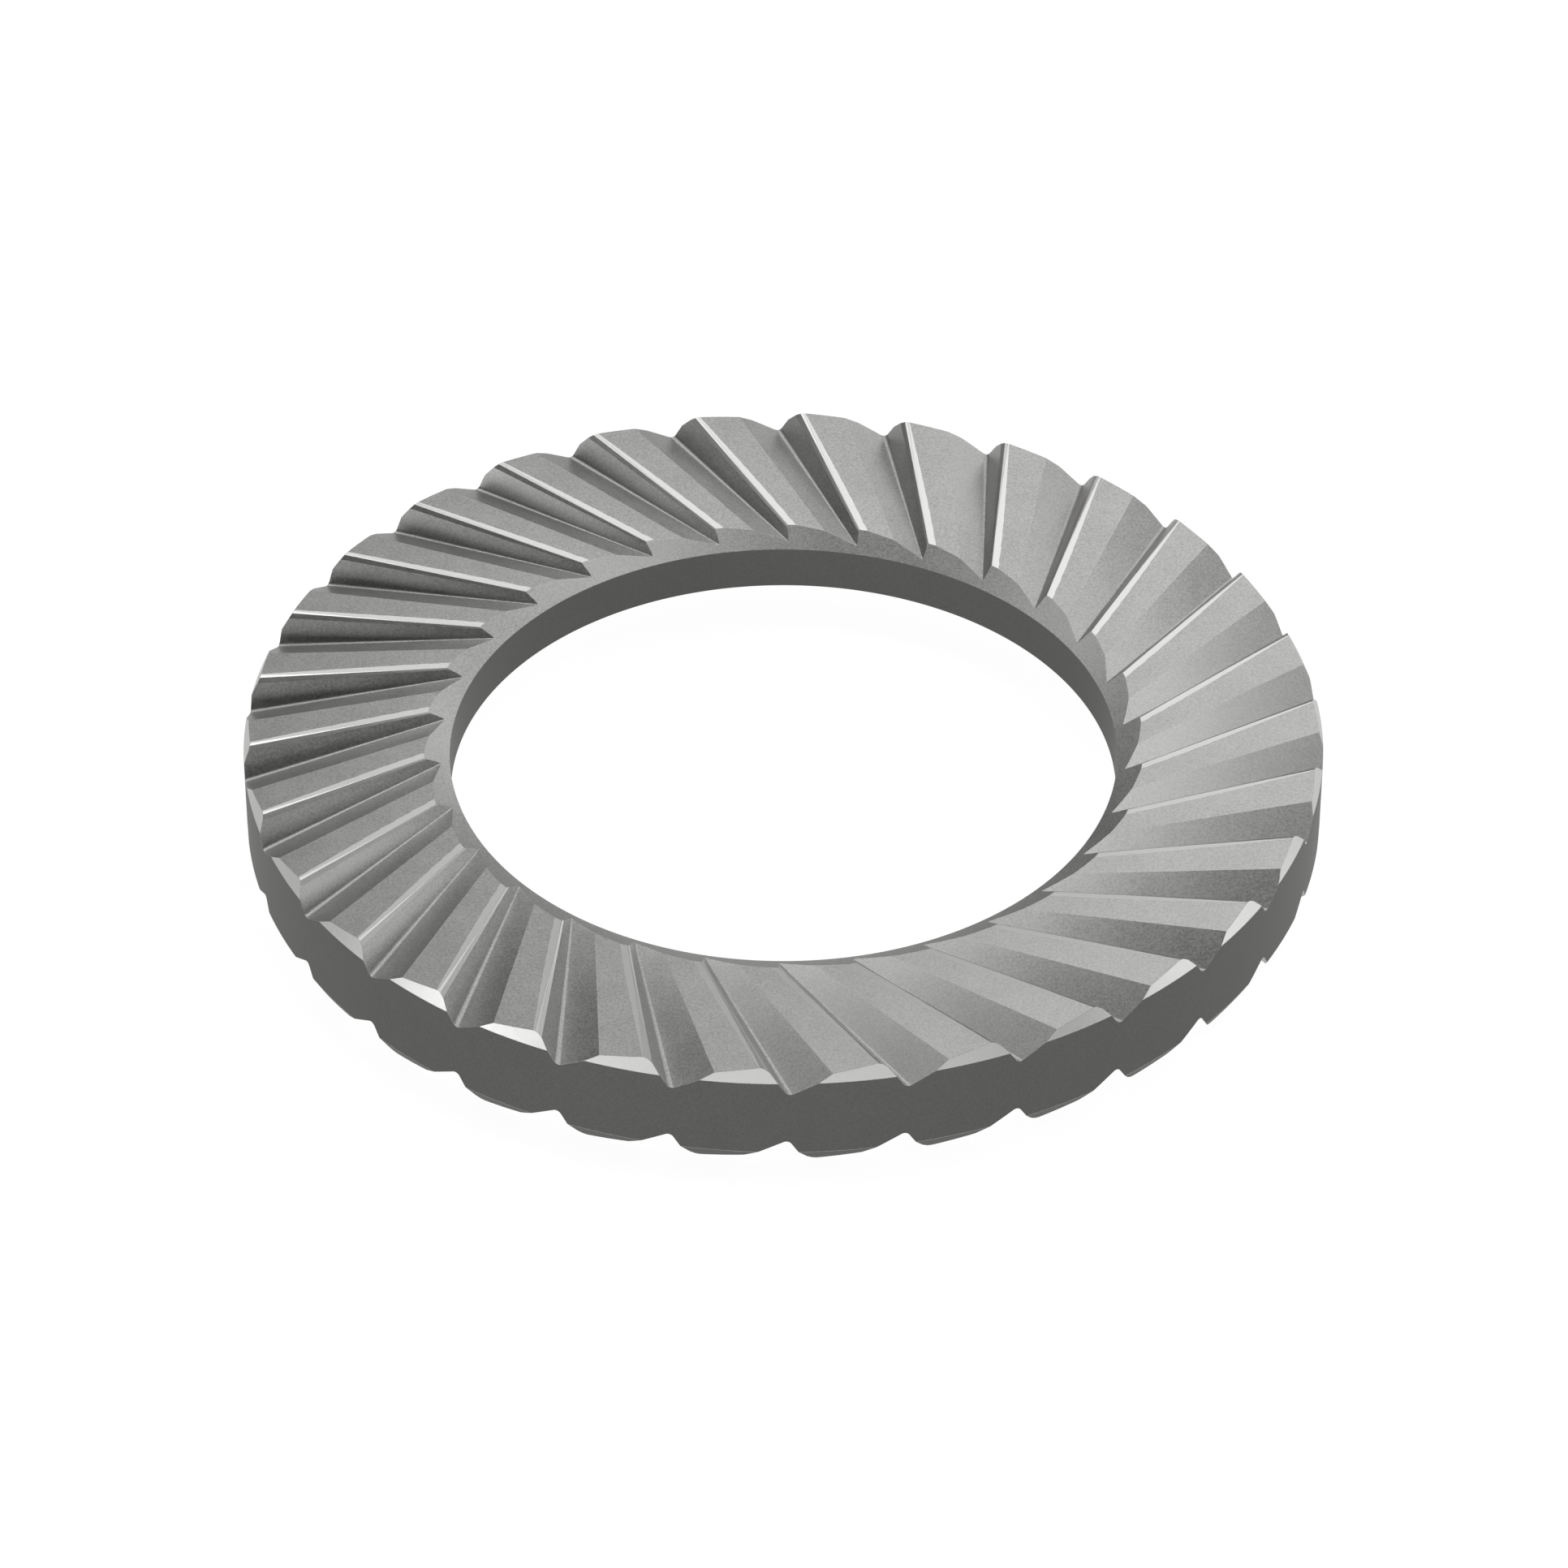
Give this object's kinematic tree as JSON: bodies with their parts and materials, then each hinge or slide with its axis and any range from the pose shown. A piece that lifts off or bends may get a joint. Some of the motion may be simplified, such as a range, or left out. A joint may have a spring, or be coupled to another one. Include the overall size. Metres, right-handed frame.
{
  "type": "serrated safety washer",
  "caption": "Flat ring washer of spring steel with skewed saw-tooth serrations on both faces, countersunk at the hole; locks a screw head or nut against working loose.",
  "frame": {"origin": "on the axis of the hole, at the level of the lower face's crests", "axes": "+Z along the hole's axis, up out of the upper serrated face; X and Y are plain radii of the ring"},
  "size_m": [0.01, 0.01, 0.001],
  "materials": {
    "spring_steel": "satin grey, fine grained, brighter on the crests and chamfers"
  },
  "bodies": {
    "root": {"serrated_washer": "spring_steel"}
  },
  "joints": []
}
